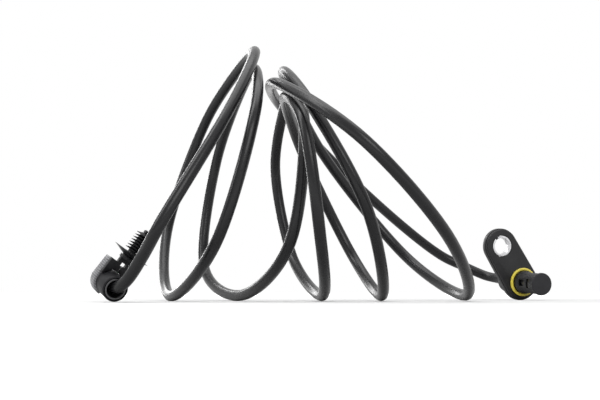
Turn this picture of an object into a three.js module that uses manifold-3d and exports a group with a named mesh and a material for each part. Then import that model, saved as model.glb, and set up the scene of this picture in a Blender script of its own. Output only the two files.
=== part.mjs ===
import * as THREE from 'three';
import { mergeVertices, toCreasedNormals } from 'three/addons/utils/BufferGeometryUtils.js';
import Module from 'manifold-3d';

const wasm = await Module();
wasm.setup();

// Wheel speed sensor with its lead, in millimetres, +Z up, standing on Z = 0.
// The sensor head is at the origin; the lead's coil and its plug lie to the left of it.

// Clearance between pieces that seat on each other
const seat = 0.3;

// How the head lies: turned about the vertical, tip dipped, flange rolled to the left
const probeTurn = 18;
const probeDip = 4;
const flangeRoll = 33;
const headAt = [4.94, 0.43, 9.14];

// Flange: a tapered obround, its front layer a little smaller than its back layer
const flangeProbeRadius = 9.0;
const flangeBoltRadius = 8.5;
const boltDistance = 21.5;
const flangeFrontDepth = 1.6;
const flangeBackDepth = 2.4;
const flangeStep = 0.35;
const flangeChamfer = 0.45;

// Probe barrel, seal groove and end cap
const barrelRadius = 5.15;
const barrelEnd = 16.6;
const shoulderRadius = 5.75;
const shoulderLength = 1.9;
const shoulderCone = 0.8;
const ringRadius = 6.45;
const ringSection = 1.5;
const capRadius = 5.55;
const capDepth = 1.2;
const capChamfer = 0.3;
const spigotDepth = 0.9;

// Rear neck that takes the lead
const neckRadius = 6.0;
const neckLength = 10.95;
const neckChamfer = 0.6;
const boreRadius = 3.9;

// Windows in the barrel's side
const windowTurn = 57;
const windowNearAt = 6.0;
const windowNearLength = 4.0;
const windowNearWidth = 3.2;
const windowFarAt = 12.0;
const windowFarLength = 1.8;
const windowFarWidth = 4.4;

// Rolled bush in the bolt hole, with its slit
const bushRadius = 5.15;
const bushWall = 0.95;
const bushProud = 0.15;
const slitWidth = 1.4;
const slitTurn = 6;
const ribDepth = 1.1;

// Carrier and what sits on it
const carrierFlat = 0.8;
const carrierFrontGap = 0.4;
const magnetSize = [2.6, 2.2, 3.2];
const chipSize = [3.2, 2.2, 1.2];
const chipSpacing = 0.8;
const chipFrontGap = 1.0;
const capacitorSize = [2.4, 1.6, 3.4];
const capacitorAt = 3.2;
const stripWidth = 1.1;
const stripDepth = 0.35;
const stripSpread = 2.25;
const stripOverhang = 1.2;

// Lead, crimp ring and boot at the neck
const cordRadius = 2.5;
const cordSides = 10;
const cordInset = 9.0;
const longStretch = 13.5;
const crimpWall = 0.8;
const crimpLength = 3.0;
const bootCollarRadius = 4.5;
const bootCollarDepth = 1.4;
const bootDepth = 4.0;

// How the plug lies: the drum's axis points to the viewer, the plug's long side runs upwards
const plugAt = [-186.7, -104.5, 8.05];
const drumAxis = [0.433, -0.858, -0.269];
const plugSide = [-0.674, -0.506, 0.538];

// Drum that the lead enters
const drumRadius = 5.25;
const drumLength = 11.0;
const drumChamfer = 0.45;
const drumRecess = 1.5;
const drumBoreDepth = 8.0;
const drumFunnel = 2.5;
const entryRadius = 3.7;
const entryWall = 0.6;

// Black bracket beside the drum: its block, the arm with its slot and window, the clip's base
const bracketDepth = 2.1;
const blockFrom = 2.0;
const blockTo = 9.1;
const sideFace = 6.0;
const armFrom = 5.5;
const armSide = 3.05;
const armWidth = 1.75;
const slotWidth = 1.35;
const slotFrom = 4.0;
const windowFrom = 8.5;
const windowTo = 9.9;
const windowDepth = 0.9;
const webWidth = 4.0;
const baseFrom = 11.6;
const baseFloor = 0.6;
const baseRadius = 3.6;
const cupDepth = 0.7;

// Light grey shell behind them, with grip ribs and the nose that mates
const shellDepth = 5.2;
const shellTop = 8.8;
const ribCount = 7;
const ribHeight = 0.25;
const ribWidth = 0.45;
const ribFirst = -0.8;
const ribPitch = 1.35;
const noseStart = -2.6;
const noseEnd = 5.6;
const noseRadius = 3.4;
const noseLength = 4.6;
const noseWall = 0.9;
const socketFloor = 1.4;
const sealDepth = 1.8;
const sealWall = 0.8;

// Socket terminals and the wedge that locks them
const terminalWidth = 2.0;
const terminalHeight = 1.8;
const terminalLength = 6.0;
const terminalWall = 0.35;
const terminalPitch = 3.0;
const wedgeDepth = 1.2;

// Clip that snaps into the bracket's cup: foot, umbrella, stem with its fins, square tip
const clipCentre = 0.1;
const footRadius = 2.9;
const footDepth = 2.6;
const umbrellaAt = 0.7;
const umbrellaRadius = 8.3;
const umbrellaRise = 1.7;
const umbrellaWall = 0.35;
const umbrellaRoot = 1.1;
const stemRadius = 2.1;
const finRadius = 4.0;
const finCount = 7;
const finPitch = 1.23;
const finDrop = 0.5;
const finRoot = 0.8;
const finTip = 0.15;
const finStart = 1.2;
const tipWidth = 2.6;
const tipLength = 1.6;
const tipNeck = 0.2;

// Route of the lead from the drum to the neck, six points to a turn
const route = [
	[-180.4, -115.2, 6.2], [-176.2, -119.1, 9.3], [-169.7, -123.2, 18.6], [-162.7, -128.9, 30],
	[-137.8, -102.9, 79.8], [-129.8, -53.9, 115.3], [-155.1, -9.9, 90.9], [-173.8, -11.9, 37.1],
	[-166.9, -59.9, 2.6], [-143, -102.9, 24], [-127.2, -99.9, 78.8], [-131.3, -49.9, 107],
	[-150.3, -6.9, 70.5], [-155.5, -16.9, 17],
	[-134.4, -59.9, 2.7], [-112.4, -98.9, 24.5], [-106.4, -94.9, 74.2], [-113, -53.9, 96.1],
	[-120.5, -19.9, 65.4], [-112.4, -28.4, 22],
	[-98.4, -71.9, 2.7], [-100.4, -111.9, 29], [-106.9, -109.9, 73.7], [-115, -74.9, 89.5],
	[-105.4, -30.4, 66.9], [-83.3, -26.4, 22],
	[-71.9, -67.9, 2.8], [-81.2, -108.4, 38.6], [-103.8, -97.9, 82.9], [-116, -53.9, 104.9],
	[-96.8, -10.9, 73], [-56.2, -12.4, 22],
	[-33.9, -60.9, 2.7], [-49.1, -112.9, 27], [-83.1, -131.9, 62.5], [-116.5, -92.9, 92.2],
	[-117, -21.9, 94.5], [-70.6, 16.1, 52.7],
	[-32.2, 34.1, 23.8], [-19.5, 33.6, 17.7], [-9.2, 30.2, 12.9], [-4.2, 25.4, 11.4],
];

// Colours and finishes, a new material for each piece
const finish = (color, roughness, metalness = 0) => () => (
	new THREE.MeshStandardMaterial({ color, roughness, metalness })
);
const blackPlastic = finish(0x1c1d1f, 0.55);
const blackRubber = finish(0x242527, 0.42);
const greyPlastic = finish(0x9a9b9e, 0.5);
const sealYellow = finish(0xd8b437, 0.35);
const sealGreen = finish(0x4d8a57, 0.45);
const steel = finish(0xb9bbbe, 0.3, 1);
const brass = finish(0xc9a24b, 0.3, 1);
const carrierPlastic = finish(0x2b2c2f, 0.6);

const radians = THREE.MathUtils.degToRad;

// Closed geometry to a solid that can be cut and joined, faces pointing out
function solid(geometry) {
	const bare = new THREE.BufferGeometry();
	bare.setAttribute('position', geometry.getAttribute('position'));
	bare.setIndex(geometry.getIndex());
	const merged = mergeVertices(bare, 1e-4);
	const place = merged.getAttribute('position');
	const index = merged.getIndex().array;
	const faces = [];
	let volume = 0;
	const corners = [new THREE.Vector3(), new THREE.Vector3(), new THREE.Vector3()];
	for (let i = 0; i < index.length; i += 3) {
		const [a, b, c] = [index[i], index[i + 1], index[i + 2]];
		if (a === b || b === c || c === a) continue;
		faces.push([a, b, c]);
		corners[0].fromBufferAttribute(place, a);
		corners[1].fromBufferAttribute(place, b);
		corners[2].fromBufferAttribute(place, c);
		volume += corners[0].dot(corners[1].cross(corners[2]));
	}
	const order = volume < 0 ? ([a, b, c]) => [a, c, b] : (face) => face;
	return new wasm.Manifold(new wasm.Mesh({
		numProp: 3,
		vertProperties: new Float32Array(place.array),
		triVerts: new Uint32Array(faces.flatMap(order)),
	}));
}

// Profile of radius and height turned about Z
function turned(profile, sides = 40) {
	const points = profile.map(([radius, height]) => new THREE.Vector2(radius, height));
	return solid(new THREE.LatheGeometry(points, sides).rotateX(Math.PI / 2));
}

// Round bar or hole along Z
function bar(radius, from, to, sides = 40) {
	return turned([[0, from], [radius, from], [radius, to], [0, to]], sides);
}

// Outline drawn in X and Y, extruded along Z, with an optional chamfer on both ends
function prism(shape, from, to, edge = 0, curveSegments = 14) {
	const geometry = new THREE.ExtrudeGeometry(shape, {
		depth: to - from - 2 * edge,
		bevelEnabled: edge > 0,
		bevelThickness: edge,
		bevelSize: edge,
		bevelOffset: -edge,
		bevelSegments: 1,
		curveSegments,
	});
	return solid(geometry.translate(0, 0, from + edge));
}

// Block between two corners
function block([x0, y0, z0], [x1, y1, z1]) {
	const geometry = new THREE.BoxGeometry(x1 - x0, y1 - y0, z1 - z0);
	return solid(geometry.translate((x0 + x1) / 2, (y0 + y1) / 2, (z0 + z1) / 2));
}

// Block of a given size about a centre
function blockAt([x, y, z], [width, depth, height]) {
	return block(
		[x - width / 2, y - depth / 2, z - height / 2],
		[x + width / 2, y + depth / 2, z + height / 2],
	);
}

function outline(points) {
	return new THREE.Shape(points.map(([x, y]) => new THREE.Vector2(x, y)));
}

// Two circles on the Y axis joined by their tangents
function taperedObround(startRadius, endRadius, length) {
	const lean = Math.asin((startRadius - endRadius) / length);
	const shape = new THREE.Shape();
	shape.absarc(0, 0, startRadius, Math.PI - lean, 2 * Math.PI + lean, false);
	shape.absarc(0, length, endRadius, lean, Math.PI - lean, false);
	shape.closePath();
	return shape;
}

// Two equal circles on the X axis joined by their tangents
function obround(from, to, radius) {
	const shape = new THREE.Shape();
	shape.absarc(to - radius, 0, radius, -Math.PI / 2, Math.PI / 2, false);
	shape.absarc(from + radius, 0, radius, Math.PI / 2, 1.5 * Math.PI, false);
	shape.closePath();
	return shape;
}

function piece(name, body, material) {
	const { vertProperties, triVerts } = body.getMesh();
	const geometry = new THREE.BufferGeometry();
	geometry.setAttribute('position', new THREE.BufferAttribute(vertProperties, 3));
	geometry.setIndex(new THREE.BufferAttribute(triVerts, 1));
	const mesh = new THREE.Mesh(toCreasedNormals(geometry, radians(35)), material);
	mesh.name = name;
	return mesh;
}

// Group whose own Z and Y axes point along the given directions
function lying(at, zAxis, yHint) {
	const z = zAxis.clone().normalize();
	const y = yHint.clone().addScaledVector(z, -yHint.dot(z)).normalize();
	const group = new THREE.Group();
	group.quaternion.setFromRotationMatrix(new THREE.Matrix4().makeBasis(y.clone().cross(z), y, z));
	group.position.set(...at);
	return group;
}

// Sensor head: its Z runs along the probe to the tip, its Y from the probe to the bolt hole
const probeAxis = new THREE.Vector3(
	Math.sin(radians(probeTurn)) * Math.cos(radians(probeDip)),
	-Math.cos(radians(probeTurn)) * Math.cos(radians(probeDip)),
	-Math.sin(radians(probeDip)),
);
const flangeUp = new THREE.Vector3(0, 0, 1);
flangeUp.addScaledVector(probeAxis, -flangeUp.dot(probeAxis)).normalize();
flangeUp.applyAxisAngle(probeAxis, radians(flangeRoll));
const head = lying(headAt, probeAxis, flangeUp);

const flangeFace = -(ringSection / 2 + seat);
const flangeMiddle = flangeFace - flangeFrontDepth;
const flangeBack = flangeMiddle - flangeBackDepth;
const neckEnd = flangeBack - neckLength;
const grooveRadius = ringRadius - ringSection / 2 - seat;
const shoulderFrom = ringSection / 2 + seat;
const shoulderTo = shoulderFrom + shoulderLength;
const coreRadius = boreRadius - seat;

// A cutting tool reaches this far past the face that it opens
const past = 1;

function sideways(body, angle) {
	return body.rotate([0, 0, angle]);
}

function makeHousing() {
	const frontLayer = prism(
		taperedObround(flangeProbeRadius, flangeBoltRadius, boltDistance),
		flangeMiddle - flangeBackDepth / 2, flangeFace, flangeChamfer,
	);
	const backLayer = prism(
		taperedObround(flangeProbeRadius + flangeStep, flangeBoltRadius + flangeStep, boltDistance),
		flangeBack, flangeMiddle,
	);
	const spindle = turned([
		[0, neckEnd],
		[neckRadius - neckChamfer, neckEnd],
		[neckRadius, neckEnd + neckChamfer],
		[neckRadius, flangeMiddle],
		[grooveRadius, flangeMiddle],
		[grooveRadius, shoulderFrom],
		[shoulderRadius, shoulderFrom],
		[shoulderRadius, shoulderTo],
		[barrelRadius, shoulderTo + shoulderCone],
		[barrelRadius, barrelEnd],
		[0, barrelEnd],
	], 48);
	let body = frontLayer.add(backLayer).add(spindle);
	body = body.subtract(bar(boreRadius, neckEnd - past, barrelEnd + past));
	const holeRadius = bushRadius + seat;
	const hole = bar(holeRadius, flangeBack - past, flangeFace + past).translate([0, boltDistance, 0]);
	body = body.subtract(hole);
	const rib = block(
		[-slitWidth / 2 + seat, holeRadius - ribDepth, flangeBack],
		[slitWidth / 2 - seat, holeRadius + past / 2, flangeFace],
	);
	body = body.add(sideways(rib, slitTurn).translate([0, boltDistance, 0]));
	for (const [at, length, width] of [
		[windowNearAt, windowNearLength, windowNearWidth],
		[windowFarAt, windowFarLength, windowFarWidth],
	]) {
		const cut = block(
			[-width / 2, boreRadius / 2, at - length / 2],
			[width / 2, barrelRadius + past, at + length / 2],
		);
		body = body.subtract(sideways(cut, windowTurn));
	}
	return body;
}

function makeCap() {
	const from = barrelEnd + seat;
	const to = from + capDepth;
	return turned([
		[0, from - spigotDepth],
		[coreRadius, from - spigotDepth],
		[coreRadius, from],
		[capRadius, from],
		[capRadius, to - capChamfer],
		[capRadius - capChamfer, to],
		[0, to],
	], 48);
}

function makeBush() {
	const inner = bushRadius - bushWall;
	const half = Math.asin(slitWidth / 2 / bushRadius);
	const halfInner = Math.asin(slitWidth / 2 / inner);
	const middle = Math.PI / 2;
	const shape = new THREE.Shape();
	shape.absarc(0, 0, bushRadius, middle + half, middle - half + 2 * Math.PI, false);
	shape.absarc(0, 0, inner, middle - halfInner + 2 * Math.PI, middle + halfInner, true);
	shape.closePath();
	const sleeve = prism(shape, flangeBack - bushProud, flangeFace, 0, 20);
	return sideways(sleeve, slitTurn).translate([0, boltDistance, 0]);
}

function makeRing() {
	return solid(new THREE.TorusGeometry(ringRadius, ringSection / 2, 10, 44));
}

// Pieces on the carrier share these places; the carrier's flat looks away from the windows
const carrierEnd = barrelEnd + seat - spigotDepth - carrierFrontGap;
const carrierStart = neckEnd + cordInset + seat;
const chipAt = carrierEnd - chipFrontGap - chipSize[2] / 2;
const magnetAt = chipAt - chipSize[2] / 2 - chipSpacing - magnetSize[2] / 2;
const onCarrier = [[magnetSize, magnetAt], [chipSize, chipAt], [capacitorSize, capacitorAt]];

function lyingIn([width, depth, length], at, gap) {
	return blockAt([0, depth / 2 - carrierFlat, at], [width + 2 * gap, depth + 2 * gap, length + 2 * gap]);
}

function makeCarrier() {
	const shape = new THREE.Shape();
	const start = Math.asin(carrierFlat / coreRadius);
	shape.absarc(0, 0, coreRadius, -start, Math.PI + start, false);
	shape.closePath();
	let body = prism(shape, carrierStart, carrierEnd);
	for (const [size, at] of onCarrier) {
		body = body.subtract(lyingIn(size, at, seat));
	}
	return sideways(body, windowTurn);
}

function makeOnCarrier(size, at) {
	return sideways(lyingIn(size, at, 0), windowTurn);
}

function makeStrip(side) {
	const top = -carrierFlat - seat;
	const strip = blockAt(
		[side * stripSpread, top - stripDepth / 2, (carrierStart + chipAt + stripOverhang) / 2],
		[stripWidth, stripDepth, chipAt + stripOverhang - carrierStart],
	);
	return sideways(strip, windowTurn);
}

function makeCrimp() {
	const inner = cordRadius + seat;
	const outer = inner + crimpWall;
	const to = carrierStart - 2 * seat;
	const from = to - crimpLength;
	return turned([[inner, from], [outer, from], [outer, to], [inner, to], [inner, from]], 32);
}

function makeBoot() {
	const inner = cordRadius + seat;
	const to = neckEnd - seat;
	const from = to - bootCollarDepth;
	return turned([
		[inner, from],
		[bootCollarRadius - neckChamfer, from],
		[bootCollarRadius, from + neckChamfer],
		[bootCollarRadius, to],
		[coreRadius, to],
		[coreRadius, to + bootDepth],
		[inner, to + bootDepth],
		[inner, from],
	], 32);
}

head.add(
	piece('sensor_housing', makeHousing(), blackPlastic()),
	piece('probe_end_cap', makeCap(), blackPlastic()),
	piece('bush_sleeve', makeBush(), steel()),
	piece('o_ring', makeRing(), sealYellow()),
	piece('element_carrier', makeCarrier(), carrierPlastic()),
	piece('bias_magnet', makeOnCarrier(magnetSize, magnetAt), steel()),
	piece('sensing_chip', makeOnCarrier(chipSize, chipAt), carrierPlastic()),
	piece('capacitor', makeOnCarrier(capacitorSize, capacitorAt), brass()),
	piece('terminal_strip_left', makeStrip(-1), brass()),
	piece('terminal_strip_right', makeStrip(1), brass()),
	piece('crimp_ring', makeCrimp(), steel()),
	piece('cable_boot', makeBoot(), blackRubber()),
);

// Plug: its X runs up the long side, its Y to the grey side, its Z along the drum to the viewer
const plug = lying(plugAt, new THREE.Vector3(...drumAxis), new THREE.Vector3(...plugSide));

function makeDrum() {
	const bore = cordRadius + seat;
	const ringSeat = entryRadius + entryWall + seat;
	return turned([
		[0, seat],
		[drumRadius, seat],
		[drumRadius, drumLength - drumChamfer],
		[drumRadius - drumChamfer, drumLength],
		[ringSeat, drumLength],
		[ringSeat, drumLength - drumRecess],
		[entryRadius, drumLength - drumRecess],
		[bore, drumLength - drumRecess - drumFunnel],
		[bore, drumLength - drumBoreDepth],
		[0, drumLength - drumBoreDepth],
	], 48);
}

function makeEntryRing() {
	const from = drumLength - drumRecess + seat;
	const to = drumLength;
	const outer = entryRadius + entryWall;
	return turned([
		[entryRadius, from],
		[outer, from],
		[outer, to],
		[entryRadius, to],
		[entryRadius, from],
	]);
}

const drumSeat = bar(drumRadius + seat, -past, drumLength + past, 48);
const bracketMiddle = seat + bracketDepth / 2;

function makeBracket() {
	const slotSide = armSide - armWidth;
	const webSide = slotSide - slotWidth;
	const plate = prism(outline([
		[blockFrom, webSide - webWidth],
		[baseFrom + past / 2, webSide - webWidth],
		[baseFrom + past / 2, armSide],
		[blockTo, armSide],
		[blockTo, sideFace],
		[blockFrom, sideFace],
	]), seat, seat + bracketDepth);
	const slot = block([slotFrom, webSide, -past], [windowFrom + past / 2, slotSide, bracketDepth + past]);
	const window = block(
		[windowFrom, webSide - windowDepth, -past],
		[windowTo, slotSide, bracketDepth + past],
	);
	const relief = block([slotFrom, webSide, -past], [armFrom, armSide, bracketDepth + past]);
	const base = bar(baseRadius, baseFrom, baseFrom + baseFloor + cupDepth)
		.rotate([0, 90, 0]).translate([0, clipCentre, bracketMiddle]);
	const cup = bar(footRadius + seat, baseFrom + baseFloor, baseFrom + baseFloor + cupDepth + past)
		.rotate([0, 90, 0]).translate([0, clipCentre, bracketMiddle]);
	const armed = plate.subtract(slot).subtract(window).subtract(relief);
	return armed.add(base).subtract(cup).subtract(drumSeat);
}

// Round at the drum's end, straight up to the top, ribbed on the grey side
function makeShell() {
	const from = -shellDepth;
	const shape = new THREE.Shape();
	shape.moveTo(0, -drumRadius);
	shape.lineTo(shellTop, -drumRadius);
	shape.lineTo(shellTop, sideFace);
	shape.lineTo(0, sideFace);
	shape.absarc(0, 0, sideFace, Math.PI / 2, Math.PI, false);
	shape.lineTo(-sideFace, 0);
	shape.absarc(0, 0, drumRadius, Math.PI, 1.5 * Math.PI, false);
	let body = prism(shape, from, 0);
	for (let i = 0; i < ribCount; i++) {
		const at = ribFirst + i * ribPitch;
		body = body.add(block(
			[at - ribWidth / 2, sideFace - past, from + ribWidth],
			[at + ribWidth / 2, sideFace + ribHeight, -ribWidth],
		));
	}
	const nose = prism(obround(noseStart, noseEnd, noseRadius), from - noseLength, from / 2);
	const inner = noseRadius - noseWall;
	const socket = prism(
		obround(noseStart + noseWall, noseEnd - noseWall, inner),
		from - noseLength - past, -socketFloor,
	);
	return body.add(nose).subtract(socket);
}

const noseMiddle = (noseStart + noseEnd) / 2;

function makeSeal() {
	const reach = seat + sealWall;
	const shape = obround(noseStart - reach, noseEnd + reach, noseRadius + reach);
	shape.holes.push(obround(noseStart - seat, noseEnd + seat, noseRadius + seat));
	const from = -shellDepth - seat - sealDepth;
	return prism(shape, from, from + sealDepth);
}

function makeTerminal(side) {
	const at = noseMiddle + side * terminalPitch / 2;
	const to = -socketFloor - seat;
	const from = to - terminalLength;
	const body = blockAt([at, 0, (from + to) / 2], [terminalWidth, terminalHeight, to - from]);
	const mouth = blockAt(
		[at, 0, from],
		[terminalWidth - 2 * terminalWall, terminalHeight - 2 * terminalWall, terminalLength],
	);
	return body.subtract(mouth);
}

function makeWedge() {
	const inner = noseRadius - noseWall - seat;
	const to = -socketFloor - seat - terminalLength - seat;
	const shape = obround(noseStart + noseWall + seat, noseEnd - noseWall - seat, inner);
	let body = prism(shape, to - wedgeDepth, to);
	for (const side of [-1, 1]) {
		const at = noseMiddle + side * terminalPitch / 2;
		body = body.subtract(blockAt([at, 0, to], [terminalWidth / 2, terminalHeight / 2, 4 * wedgeDepth]));
	}
	return body;
}

// Turned about the clip's own axis, which runs along the plug's X
function makeClip() {
	const foot = baseFrom + baseFloor + seat;
	const skirt = foot + umbrellaAt;
	const footTop = foot + footDepth;
	const profile = [
		[0, foot],
		[footRadius, foot],
		[footRadius, skirt],
		[umbrellaRadius, skirt + umbrellaRise],
		[umbrellaRadius - umbrellaWall, skirt + umbrellaRise],
		[footRadius, skirt + umbrellaRoot],
		[footRadius, footTop],
		[stemRadius, footTop],
	];
	for (let i = 0; i < finCount; i++) {
		const root = footTop + finStart + i * finPitch;
		profile.push(
			[stemRadius, root],
			[finRadius, root - finDrop + finRoot / 2],
			[finRadius, root - finDrop + finRoot / 2 + finTip],
			[stemRadius, root + finRoot],
		);
	}
	const stemTop = footTop + finStart + (finCount - 1) * finPitch + finRoot + tipNeck;
	profile.push([stemRadius, stemTop], [0, stemTop]);
	const half = tipWidth / 2;
	const square = outline([[-half, -half], [half, -half], [half, half], [-half, half]]);
	const tip = prism(square, stemTop - tipNeck / 2, stemTop + tipLength, tipLength / 4);
	return turned(profile, 28).add(tip).rotate([0, 90, 0]).translate([0, clipCentre, bracketMiddle]);
}

plug.add(
	piece('connector_boot', makeDrum(), blackRubber()),
	piece('boot_ring', makeEntryRing(), blackPlastic()),
	piece('connector_bracket', makeBracket(), blackPlastic()),
	piece('plug_shell', makeShell(), greyPlastic()),
	piece('mating_seal', makeSeal(), sealGreen()),
	piece('terminal_front', makeTerminal(1), brass()),
	piece('terminal_rear', makeTerminal(-1), brass()),
	piece('terminal_wedge', makeWedge(), greyPlastic()),
	piece('clip_fir_tree', makeClip(), blackPlastic()),
);

// Lead: its ends run straight along the drum's axis and the probe's axis.
// It has a section at each point of its route and one halfway along each long stretch.
class Lead extends THREE.CatmullRomCurve3 {
	constructor(points) {
		super(points);
		this.marks = [];
		points.forEach((point, i) => {
			this.marks.push(i);
			if (i + 1 < points.length && point.distanceTo(points[i + 1]) > longStretch) {
				this.marks.push(i + 0.5);
			}
		});
	}

	markAt(u) {
		return this.marks[Math.round(u * (this.marks.length - 1))] / (this.points.length - 1);
	}

	getPointAt(u, target) {
		return this.getPoint(this.markAt(u), target);
	}

	getTangentAt(u, target) {
		return this.getTangent(this.markAt(u), target);
	}
}

function along(group, distance) {
	return new THREE.Vector3(0, 0, distance).applyQuaternion(group.quaternion).add(group.position);
}

function makeLead() {
	const path = new Lead([
		along(plug, drumLength - drumBoreDepth + seat),
		along(plug, drumLength - drumRecess - drumFunnel),
		...route.map((point) => new THREE.Vector3(...point)),
		along(head, neckEnd - bootCollarDepth - cordRadius),
		along(head, neckEnd),
		along(head, neckEnd + cordInset),
	]);
	const corners = [];
	for (let i = 0; i < cordSides; i++) {
		const turn = 2 * Math.PI * i / cordSides;
		corners.push([cordRadius * Math.cos(turn), cordRadius * Math.sin(turn)]);
	}
	const geometry = new THREE.ExtrudeGeometry(outline(corners), {
		steps: path.marks.length - 1,
		extrudePath: path,
	});
	const mesh = new THREE.Mesh(geometry, blackRubber());
	mesh.name = 'cable';
	return mesh;
}

const sensor = new THREE.Group();
sensor.add(head, plug, makeLead());

export default sensor;
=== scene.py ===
import math

import bpy
from mathutils import Matrix, Vector


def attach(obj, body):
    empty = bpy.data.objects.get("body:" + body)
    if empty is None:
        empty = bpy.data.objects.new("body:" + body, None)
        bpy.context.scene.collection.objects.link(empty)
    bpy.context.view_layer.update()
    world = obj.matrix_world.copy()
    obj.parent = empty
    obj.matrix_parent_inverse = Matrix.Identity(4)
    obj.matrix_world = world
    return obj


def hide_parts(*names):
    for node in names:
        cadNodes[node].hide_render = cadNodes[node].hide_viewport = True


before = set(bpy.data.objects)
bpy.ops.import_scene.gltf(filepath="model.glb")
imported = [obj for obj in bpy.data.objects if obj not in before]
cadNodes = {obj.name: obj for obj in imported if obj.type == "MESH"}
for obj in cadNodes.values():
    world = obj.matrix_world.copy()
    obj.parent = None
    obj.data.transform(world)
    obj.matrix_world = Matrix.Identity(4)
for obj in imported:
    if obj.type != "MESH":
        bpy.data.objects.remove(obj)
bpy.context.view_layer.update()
bpy.ops.object.select_all(action="DESELECT")
print("frame loaded:", len(cadNodes), "nodes")


# camera: like the photo's, just above the table with a long lens, tipped up a little
cameraSetup = {
    "place": (-0.1083, -0.5389, 0.004),
    "tipUp": 4.97,
    "lens": 63.62,
    "sensorWidth": 36,
    "nearest": 0.01,
}


def addCamera(setup):
    bpy.ops.object.camera_add(
        location=setup["place"],
        rotation=(math.radians(90 + setup["tipUp"]), 0, 0),
    )
    camera = bpy.context.object
    camera.name = "photoCamera"
    camera.data.lens = setup["lens"]
    camera.data.sensor_width = setup["sensorWidth"]
    camera.data.clip_start = setup["nearest"]
    camera.data.dof.use_dof = False
    bpy.context.scene.camera = camera


addCamera(cameraSetup)
print("camera placed")


# the lead: one jacketed cable from the sensor's neck through its loose turns to the plug
lead = {
    "radius": 0.0025,
    "length": 2.05,
    "exit": (0.0000, 0.0156, 0.0103),
    "steps": 12,
    "roundness": 6,
    "route": [
        (0.0028, 0.0071, 0.0096), (0.0000, 0.0156, 0.0103), (-0.0012, 0.0193, 0.0105),
        (-0.0042, 0.0254, 0.0114), (-0.0092, 0.0302, 0.0129), (-0.0195, 0.0336, 0.0177),
        (-0.0322, 0.0341, 0.0238), (-0.0706, 0.0161, 0.0527), (-0.1170, -0.0219, 0.0945),
        (-0.1165, -0.0929, 0.0922), (-0.0831, -0.1319, 0.0625), (-0.0491, -0.1129, 0.0270),
        (-0.0339, -0.0609, 0.0027), (-0.0562, -0.0124, 0.0220), (-0.0968, -0.0109, 0.0730),
        (-0.1160, -0.0539, 0.1049), (-0.1038, -0.0979, 0.0829), (-0.0812, -0.1084, 0.0386),
        (-0.0719, -0.0679, 0.0028), (-0.0833, -0.0264, 0.0220), (-0.1054, -0.0304, 0.0669),
        (-0.1150, -0.0749, 0.0895), (-0.1069, -0.1099, 0.0737), (-0.1004, -0.1119, 0.0290),
        (-0.0984, -0.0719, 0.0027), (-0.1124, -0.0284, 0.0220), (-0.1205, -0.0199, 0.0654),
        (-0.1130, -0.0539, 0.0961), (-0.1064, -0.0949, 0.0742), (-0.1124, -0.0989, 0.0245),
        (-0.1344, -0.0599, 0.0027), (-0.1555, -0.0169, 0.0170), (-0.1503, -0.0069, 0.0705),
        (-0.1313, -0.0499, 0.1070), (-0.1272, -0.0999, 0.0788), (-0.1430, -0.1029, 0.0240),
        (-0.1669, -0.0599, 0.0026), (-0.1738, -0.0119, 0.0371), (-0.1551, -0.0099, 0.0909),
        (-0.1298, -0.0539, 0.1153), (-0.1378, -0.1029, 0.0798), (-0.1627, -0.1289, 0.0300),
        (-0.1697, -0.1232, 0.0186), (-0.1762, -0.1191, 0.0093), (-0.1804, -0.1152, 0.0062),
        (-0.1837, -0.1105, 0.0062), (-0.1853, -0.1073, 0.0072),
    ],
}


def smoothLine(route, steps):
    # a smooth line through every point, its knots spaced by the root of their distance
    points = [Vector(p) for p in route]
    line = []
    for i in range(len(points) - 1):
        start, end = points[i], points[i + 1]
        before = points[i - 1] if i > 0 else 2 * start - end
        after = points[i + 2] if i + 2 < len(points) else 2 * end - start
        back = math.sqrt((start - before).length)
        here = math.sqrt((end - start).length)
        ahead = math.sqrt((after - end).length)
        leave = (
            (start - before) / back - (end - before) / (back + here) + (end - start) / here
        ) * here
        arrive = (
            (end - start) / here - (after - start) / (here + ahead) + (after - end) / ahead
        ) * here
        for k in range(steps):
            t = k / steps
            line.append(
                start + leave * t
                + (3 * (end - start) - 2 * leave - arrive) * t ** 2
                + (2 * (start - end) + leave + arrive) * t ** 3
            )
    line.append(points[-1])
    return line


def makeActive(piece):
    bpy.ops.object.select_all(action="DESELECT")
    piece.select_set(True)
    bpy.context.view_layer.objects.active = piece


def addLead(setup, line):
    curve = bpy.data.curves.new("leadCable", "CURVE")
    curve.dimensions = "3D"
    curve.bevel_depth = setup["radius"]
    curve.bevel_resolution = setup["roundness"]
    curve.use_fill_caps = True
    spline = curve.splines.new("POLY")
    spline.points.add(len(line) - 1)
    for point, place in zip(spline.points, line):
        point.co = (*place, 1)
    spline.use_smooth = True
    cable = bpy.data.objects.new("leadCable", curve)
    bpy.context.collection.objects.link(cable)
    makeActive(cable)
    bpy.ops.object.convert(target="MESH")
    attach(cable, "root")
    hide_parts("cable")
    return cable


leadLine = smoothLine(lead["route"], lead["steps"])
cable = addLead(lead, leadLine)
print("lead laid:", len(lead["route"]), "points")


# the plug's own axes: across its face, up to the clip, and along the drum
plugFrame = {
    "at": (-0.1867, -0.1045, 0.00805),
    "across": (0.598, 0.052, 0.797),
    "up": (-0.674, -0.506, 0.538),
    "along": (0.433, -0.858, -0.269),
}


def plugAxes(plug):
    return Matrix((plug["across"], plug["up"], plug["along"])).transposed()


# materials
def newMaterial(name):
    material = bpy.data.materials.new(name)
    material.use_nodes = True
    tree = material.node_tree
    return material, tree, tree.nodes["Principled BSDF"]


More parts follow.
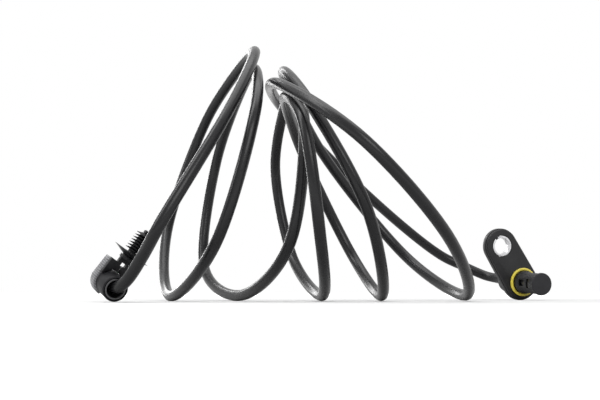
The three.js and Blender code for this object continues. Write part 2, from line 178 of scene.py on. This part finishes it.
def placeOn(tree, turn=(0, 0, 0), stretch=(1, 1, 1), centre=(0, 0, 0)):
    coords = tree.nodes.new("ShaderNodeTexCoord")
    mapping = tree.nodes.new("ShaderNodeMapping")
    mapping.vector_type = "TEXTURE"
    mapping.inputs["Location"].default_value = centre
    mapping.inputs["Rotation"].default_value = turn
    mapping.inputs["Scale"].default_value = stretch
    tree.links.new(coords.outputs["Object"], mapping.inputs["Vector"])
    return mapping.outputs["Vector"]


def noiseOn(tree, where, scale, detail=3, roughness=0.5):
    noise = tree.nodes.new("ShaderNodeTexNoise")
    noise.inputs["Scale"].default_value = scale
    noise.inputs["Detail"].default_value = detail
    noise.inputs["Roughness"].default_value = roughness
    tree.links.new(where, noise.inputs["Vector"])
    return noise.outputs["Fac"]


noiseReach = (0.3, 0.7)  # most of what a noise gives lies between these


def spread(tree, value, low, high, reach=noiseReach):
    between = tree.nodes.new("ShaderNodeMapRange")
    between.inputs["From Min"].default_value = reach[0]
    between.inputs["From Max"].default_value = reach[1]
    between.inputs["To Min"].default_value = low
    between.inputs["To Max"].default_value = high
    tree.links.new(value, between.inputs["Value"])
    return between.outputs["Result"]


def blendTones(tree, value, dark, light):
    ramp = tree.nodes.new("ShaderNodeValToRGB")
    for stop, position, tone in zip(ramp.color_ramp.elements, noiseReach, (dark, light)):
        stop.position = position
        stop.color = (*tone, 1)
    tree.links.new(value, ramp.inputs["Fac"])
    return ramp.outputs["Color"]


def fineRibs(tree, ribs):
    # a wave of scale 1 repeats every pi / 10 metres
    wave = tree.nodes.new("ShaderNodeTexWave")
    wave.bands_direction = "X"
    wave.inputs["Scale"].default_value = math.pi / 10 / ribs["pitch"]
    turn = plugAxes(plugFrame).to_euler()
    tree.links.new(placeOn(tree, turn, centre=plugFrame["at"]), wave.inputs["Vector"])
    return wave.outputs["Fac"]


# painted shade: the grooves between the ribs are mixed toward a dark grey, standing in for the shade that
# falls in them
def paintGrooveShade(tree, tone, bands, ribs):
    mix = tree.nodes.new("ShaderNodeMix")
    mix.data_type = "RGBA"
    mix.inputs["B"].default_value = (*ribs["groove"], 1)
    tree.links.new(spread(tree, bands, ribs["amount"], 0), mix.inputs["Factor"])
    tree.links.new(tone, mix.inputs["A"])
    return mix.outputs["Result"]


def bumpFrom(tree, shader, layers):
    # each layer is a height, how far it stands proud in metres, and its strength
    last = None
    for height, distance, strength in layers:
        bump = tree.nodes.new("ShaderNodeBump")
        bump.inputs["Distance"].default_value = distance
        bump.inputs["Strength"].default_value = strength
        tree.links.new(height, bump.inputs["Height"])
        if last:
            tree.links.new(last, bump.inputs["Normal"])
        last = bump.outputs["Normal"]
    tree.links.new(last, shader.inputs["Normal"])


# what the mould's grain is made of: each layer's height as a share of the grain's, and its strength
grainLayers = {"patches": (1.5, 0.4), "grain": (1, 0.8), "specks": (0.3, 0.5)}
speckRatio = 3.1  # the specks are this much finer than the grain


def mouldedPlastic(name, look):
    material, tree, shader = newMaterial(name)
    where = placeOn(tree)
    patches = noiseOn(tree, where, look["patchScale"])
    noises = {
        "patches": patches,
        "grain": noiseOn(tree, where, look["grainScale"], detail=2, roughness=0.6),
        "specks": noiseOn(tree, where, look["grainScale"] * speckRatio, detail=1),
    }
    tone = blendTones(tree, patches, look["dark"], look["light"])
    layers = [
        (noises[kind], look["grainDepth"] * share, strength)
        for kind, (share, strength) in grainLayers.items()
    ]
    if "ribs" in look:
        bands = fineRibs(tree, look["ribs"])
        # painted shade in the rib grooves
        tone = paintGrooveShade(tree, tone, bands, look["ribs"])
        layers.append((bands, look["ribs"]["height"], look["ribs"]["strength"]))
    tree.links.new(tone, shader.inputs["Base Color"])
    tree.links.new(spread(tree, patches, *look["roughness"]), shader.inputs["Roughness"])
    shader.inputs["Specular IOR Level"].default_value = look.get("shine", 0.5)
    bumpFrom(tree, shader, layers)
    return material


finishes = {}

# black glass-filled plastic of the sensor head, eroded-mould grain
finishes["housing"] = mouldedPlastic("blackHousingPlastic", {
    "dark": (0.006, 0.006, 0.007), "light": (0.011, 0.011, 0.012),
    "patchScale": 420, "grainScale": 2600, "grainDepth": 0.00004,
    "roughness": (0.36, 0.5), "shine": 0.36,
})
finishes["probeCap"] = mouldedPlastic("blackCapPlastic", {
    "dark": (0.012, 0.012, 0.014), "light": (0.02, 0.02, 0.023),
    "patchScale": 420, "grainScale": 2600, "grainDepth": 0.00005,
    "roughness": (0.42, 0.6), "shine": 0.3,
})

# deeper black of the plug and the clip
finishes["plug"] = mouldedPlastic("blackPlugPlastic", {
    "dark": (0.004, 0.004, 0.005), "light": (0.009, 0.009, 0.010),
    "patchScale": 500, "grainScale": 3200, "grainDepth": 0.00004,
    "roughness": (0.36, 0.52), "shine": 0.26,
})

# pale grey shell with fine grip ribs, the grooves between them painted darker as painted shade
finishes["shell"] = mouldedPlastic("paleGreyShell", {
    "dark": (0.21, 0.21, 0.222), "light": (0.29, 0.29, 0.302),
    "patchScale": 600, "grainScale": 2800, "grainDepth": 0.00003,
    "roughness": (0.4, 0.55),
    "ribs": {
        "pitch": 0.0009, "height": 0.00008, "strength": 0.6,
        # the painted shade's colour in the grooves, and how far it is mixed in
        "groove": (0.05, 0.05, 0.053), "amount": 0.6,
    },
})

# drum and boot: soft black rubber
finishes["drum"] = mouldedPlastic("satinDrumRubber", {
    "dark": (0.010, 0.010, 0.011), "light": (0.018, 0.018, 0.020),
    "patchScale": 300, "grainScale": 3600, "grainDepth": 0.00002,
    "roughness": (0.42, 0.52), "shine": 0.1,
})

# the thin ring at the cable's entry, painted a lighter grey than the plug's black so that the ring's thin
# lighter arc shows
finishes["entryRing"] = mouldedPlastic("greyEntryRing", {
    "dark": (0.07, 0.07, 0.073), "light": (0.11, 0.11, 0.114),
    "patchScale": 500, "grainScale": 3600, "grainDepth": 0.00002,
    "roughness": (0.3, 0.42),
})

# seals
finishes["yellowSeal"] = mouldedPlastic("yellowSealRubber", {
    "dark": (0.80, 0.64, 0.06), "light": (0.90, 0.76, 0.12),
    "patchScale": 350, "grainScale": 3000, "grainDepth": 0.00002,
    "roughness": (0.28, 0.4),
})
finishes["greenSeal"] = mouldedPlastic("greenSealRubber", {
    "dark": (0.05, 0.19, 0.07), "light": (0.08, 0.26, 0.1),
    "patchScale": 350, "grainScale": 3000, "grainDepth": 0.00002,
    "roughness": (0.3, 0.45),
})

# inner pieces
finishes["carrier"] = mouldedPlastic("carrierPlastic", {
    "dark": (0.012, 0.012, 0.013), "light": (0.022, 0.022, 0.024),
    "patchScale": 700, "grainScale": 4000, "grainDepth": 0.00002,
    "roughness": (0.5, 0.65),
})
finishes["capacitor"] = mouldedPlastic("dippedCapacitor", {
    "dark": (0.38, 0.18, 0.04), "light": (0.5, 0.27, 0.07),
    "patchScale": 500, "grainScale": 2500, "grainDepth": 0.00003,
    "roughness": (0.25, 0.4),
})


def cableJacket(name, look):
    material, tree, shader = newMaterial(name)
    where = placeOn(tree)
    drift = noiseOn(tree, where, look["driftScale"])
    skin = noiseOn(tree, where, look["skinScale"], roughness=0.6)
    scuffs = noiseOn(tree, where, look["scuffScale"], detail=4, roughness=0.7)
    tree.links.new(blendTones(tree, drift, look["dark"], look["light"]), shader.inputs["Base Color"])
    tree.links.new(spread(tree, scuffs, *look["roughness"]), shader.inputs["Roughness"])
    shader.inputs["Specular IOR Level"].default_value = look["shine"]
    bumpFrom(tree, shader, [
        (drift, *look["driftBump"]),
        (scuffs, *look["scuffBump"]),
        (skin, *look["skinBump"]),
    ])
    return material


finishes["jacket"] = cableJacket("blackCableJacket", {
    "dark": (0.005, 0.005, 0.006), "light": (0.009, 0.009, 0.010),
    "driftScale": 55, "scuffScale": 528, "skinScale": 2400,
    "driftBump": (0.00008, 0.35), "scuffBump": (0.00002, 0.5), "skinBump": (0.000008, 0.6),
    "roughness": (0.24, 0.34), "shine": 0.3,
})


def workedMetal(name, look):
    material, tree, shader = newMaterial(name)
    where = placeOn(tree, look["turn"], look["stretch"])
    lines = noiseOn(tree, where, look["lineScale"], detail=4, roughness=0.65)
    patches = noiseOn(tree, placeOn(tree), look["patchScale"])
    tree.links.new(blendTones(tree, patches, look["dark"], look["light"]), shader.inputs["Base Color"])
    tree.links.new(spread(tree, lines, *look["roughness"]), shader.inputs["Roughness"])
    shader.inputs["Metallic"].default_value = 1
    bumpFrom(tree, shader, [(lines, *look["lineBump"])])
    return material


probeTurn = (math.radians(-4), 0, math.radians(18))  # lines up with the probe's axis
finishes["steel"] = workedMetal("platedSteel", {
    "dark": (0.5, 0.5, 0.51), "light": (0.68, 0.68, 0.69), "roughness": (0.22, 0.42),
    "lineScale": 900, "patchScale": 360, "lineBump": (0.00002, 0.6),
    "turn": probeTurn, "stretch": (1, 8, 1),
})
finishes["brass"] = workedMetal("stampedBrass", {
    "dark": (0.45, 0.29, 0.09), "light": (0.6, 0.42, 0.15), "roughness": (0.25, 0.4),
    "lineScale": 1100, "patchScale": 440, "lineBump": (0.00002, 0.6),
    "turn": probeTurn, "stretch": (1, 6, 1),
})
print("finishes made:", len(finishes))

cable.data.materials.append(finishes["jacket"])


# rigid pieces: the CAD form with its seams closed, its edges broken and its curves smoothed
pieceFinishes = {
    "sensor_housing": {"slot": "housing_plastic", "finish": "housing", "edge": 0.00025},
    "probe_end_cap": {"slot": "housing_plastic", "finish": "probeCap", "edge": 0.0001},
    "bush_sleeve": {"slot": "bush_steel", "finish": "steel", "edge": 0.0001},
    "o_ring": {"slot": "seal_yellow", "finish": "yellowSeal", "edge": 0},
    "cable_boot": {"slot": "boot_rubber", "finish": "drum", "edge": 0.0001},
    "connector_boot": {"slot": "drum_rubber", "finish": "drum", "edge": 0.00015},
    "boot_ring": {"slot": "plug_plastic", "finish": "entryRing", "edge": 0.0001},
    "connector_bracket": {"slot": "plug_plastic", "finish": "plug", "edge": 0.00012},
    "plug_shell": {"slot": "shell_grey", "finish": "shell", "edge": 0.0001},
    "mating_seal": {"slot": "seal_green", "finish": "greenSeal", "edge": 0.00015},
    "terminal_wedge": {"slot": "shell_grey", "finish": "shell", "edge": 0.00008},
    "clip_fir_tree": {"slot": "plug_plastic", "finish": "plug", "edge": 0.00006},
}


# the weld is in metres and the angles in degrees
meshCare = {"weld": 0.000005, "flatBelow": 0.6, "roundAbove": 38, "smoothBelow": 36, "segments": 2}


def smoothPiece(nodeName, look, care):
    words = nodeName.split("_")
    name = words[0] + "".join(w.capitalize() for w in words[1:])
    piece = bpy.data.objects.new(name, cadNodes[nodeName].data.copy())
    piece.data.name = name
    bpy.context.collection.objects.link(piece)
    makeActive(piece)
    bpy.ops.object.mode_set(mode="EDIT")
    bpy.ops.mesh.select_all(action="SELECT")
    bpy.ops.mesh.remove_doubles(threshold=care["weld"])
    bpy.ops.mesh.dissolve_limited(angle_limit=math.radians(care["flatBelow"]))
    bpy.ops.object.mode_set(mode="OBJECT")
    if look["edge"]:
        rounding = piece.modifiers.new("edgeRounding", "BEVEL")
        rounding.width = look["edge"]
        rounding.segments = care["segments"]
        rounding.limit_method = "ANGLE"
        rounding.angle_limit = math.radians(care["roundAbove"])
        bpy.ops.object.modifier_apply(modifier=rounding.name)
    bpy.ops.object.shade_smooth_by_angle(angle=math.radians(care["smoothBelow"]))
    piece.data.materials.clear()
    piece.data.materials.append(finishes[look["finish"]])
    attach(piece, "root")
    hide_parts(nodeName)
    return piece


pieces = {name: smoothPiece(name, look, meshCare) for name, look in pieceFinishes.items()}
print("rigid pieces finished:", len(pieces))


# the shell is cut away behind the bracket's slot, which shows the white behind it,
# and the snap arm is thicker than its CAD form, so the slot is only a slit
plugMends = {
    "plug_shell": {
        "operation": "DIFFERENCE", "centre": (0.00722, -0.0002, -0.0026), "size": (0.0042, 0.0064, 0.0056),
    },
    "connector_bracket": {
        "operation": "UNION", "centre": (0.00695, 0.00097, 0.00135), "size": (0.0028, 0.0008, 0.0020),
    },
}


def mendPiece(piece, mend, plug):
    axes = plugAxes(plug).to_4x4()
    bpy.ops.mesh.primitive_cube_add(size=1)
    block = bpy.context.object
    block.name = "mendBlock"
    block.matrix_world = (
        Matrix.Translation(plug["at"]) @ axes
        @ Matrix.Translation(mend["centre"]) @ Matrix.Diagonal((*mend["size"], 1))
    )
    makeActive(piece)
    change = piece.modifiers.new("mend", "BOOLEAN")
    change.operation = mend["operation"]
    change.solver = "EXACT"
    change.object = block
    bpy.ops.object.modifier_apply(modifier=change.name)
    bpy.data.objects.remove(block)


for name, mend in plugMends.items():
    mendPiece(pieces[name], mend, plugFrame)
print("plug mended:", len(plugMends))

# pieces that hide inside the housing and the plug keep their CAD form
innerFinishes = {
    "element_carrier": "carrier", "sensing_chip": "carrier", "bias_magnet": "steel",
    "capacitor": "capacitor", "terminal_strip_left": "brass", "terminal_strip_right": "brass",
    "crimp_ring": "steel", "terminal_front": "brass", "terminal_rear": "brass",
}
for name, finish in innerFinishes.items():
    for held in cadNodes[name].material_slots:
        held.material = finishes[finish]
print("inner pieces coloured:", len(innerFinishes))


# white table and studio light
def raysOf(tree, *kinds):
    # 1 for a ray of any of these kinds, 0 for the others
    ray = tree.nodes.new("ShaderNodeLightPath")
    seen = ray.outputs[kinds[0]]
    for kind in kinds[1:]:
        either = tree.nodes.new("ShaderNodeMath")
        either.operation = "MAXIMUM"
        tree.links.new(seen, either.inputs[0])
        tree.links.new(ray.outputs[kind], either.inputs[1])
        seen = either.outputs[0]
    return seen


# the floor glows only away from the object, so that its shadow shows: the glow starts at the first
# distance from the floor's centre and is full at the second
floorSetup = {"size": 8, "centre": (-0.1, 0, 0), "tone": (0.78, 0.78, 0.78), "glowReach": (0.15, 0.6)}


def addFloor(setup):
    bpy.ops.mesh.primitive_plane_add(size=setup["size"], location=setup["centre"])
    floor = bpy.context.object
    floor.name = "studioFloor"
    material = bpy.data.materials.new("whiteTable")
    material.use_nodes = True
    tree = material.node_tree
    tree.nodes.clear()
    output = tree.nodes.new("ShaderNodeOutputMaterial")
    matt = tree.nodes.new("ShaderNodeBsdfDiffuse")
    matt.inputs["Color"].default_value = (*setup["tone"], 1)
    glow = tree.nodes.new("ShaderNodeEmission")
    coords = tree.nodes.new("ShaderNodeTexCoord")
    away = tree.nodes.new("ShaderNodeVectorMath")
    away.operation = "LENGTH"
    tree.links.new(coords.outputs["Object"], away.inputs[0])
    fade = spread(tree, away.outputs["Value"], 0, 1, setup["glowReach"])
    lift = tree.nodes.new("ShaderNodeMath")
    lift.operation = "MULTIPLY"
    tree.links.new(raysOf(tree, "Is Camera Ray", "Is Glossy Ray"), lift.inputs[0])
    tree.links.new(fade, lift.inputs[1])
    tree.links.new(lift.outputs[0], glow.inputs["Strength"])
    both = tree.nodes.new("ShaderNodeAddShader")
    tree.links.new(matt.outputs[0], both.inputs[0])
    tree.links.new(glow.outputs[0], both.inputs[1])
    tree.links.new(both.outputs[0], output.inputs["Surface"])
    floor.data.materials.append(material)


# a plain fill lights the object, and what the camera and reflections see is white
worldSetup = {"fill": 0.5, "white": 1}


def addWorld(setup):
    world = bpy.data.worlds.new("studioWorld")
    bpy.context.scene.world = world
    world.use_nodes = True
    tree = world.node_tree
    tree.nodes.clear()
    output = tree.nodes.new("ShaderNodeOutputWorld")
    fill = tree.nodes.new("ShaderNodeBackground")
    fill.inputs["Strength"].default_value = setup["fill"]
    white = tree.nodes.new("ShaderNodeBackground")
    white.inputs["Color"].default_value = (1, 1, 1, 1)
    white.inputs["Strength"].default_value = setup["white"]
    seen = raysOf(tree, "Is Camera Ray", "Is Glossy Ray", "Is Transmission Ray")
    pick = tree.nodes.new("ShaderNodeMixShader")
    tree.links.new(seen, pick.inputs[0])
    tree.links.new(fill.outputs[0], pick.inputs[1])
    tree.links.new(white.outputs[0], pick.inputs[2])
    tree.links.new(pick.outputs[0], output.inputs["Surface"])


lights = {
    "leftStrip": {
        "place": (-0.75, -0.15, 0.75), "aim": (-0.1, -0.05, 0.06), "size": (0.25, 1.0), "power": 4.5,
    },
    "backStrip": {
        "place": (-0.6, 0.9, 0.35), "aim": (-0.1, -0.05, 0.06), "size": (0.2, 1.0), "power": 4.2,
    },
    "frontBox": {
        "place": (0.25, -1.1, 0.8), "aim": (-0.1, -0.05, 0.05), "size": (0.8, 0.6), "power": 6,
    },
    "topBox": {
        "place": (-0.1, 0.15, 1.3), "aim": (-0.1, 0.0, 0.0), "size": (1.2, 0.9), "power": 7,
    },
}


def addLights(setups):
    for name, setup in setups.items():
        bpy.ops.object.light_add(type="AREA", location=setup["place"])
        lamp = bpy.context.object
        lamp.name = name
        lamp.data.shape = "RECTANGLE"
        lamp.data.size, lamp.data.size_y = setup["size"]
        lamp.data.energy = setup["power"]
        toAim = Vector(setup["aim"]) - Vector(setup["place"])
        lamp.rotation_euler = toAim.to_track_quat("-Z", "Y").to_euler()


addFloor(floorSetup)
addWorld(worldSetup)
addLights(lights)
bpy.context.scene.view_settings.view_transform = "Standard"
print("studio lit")
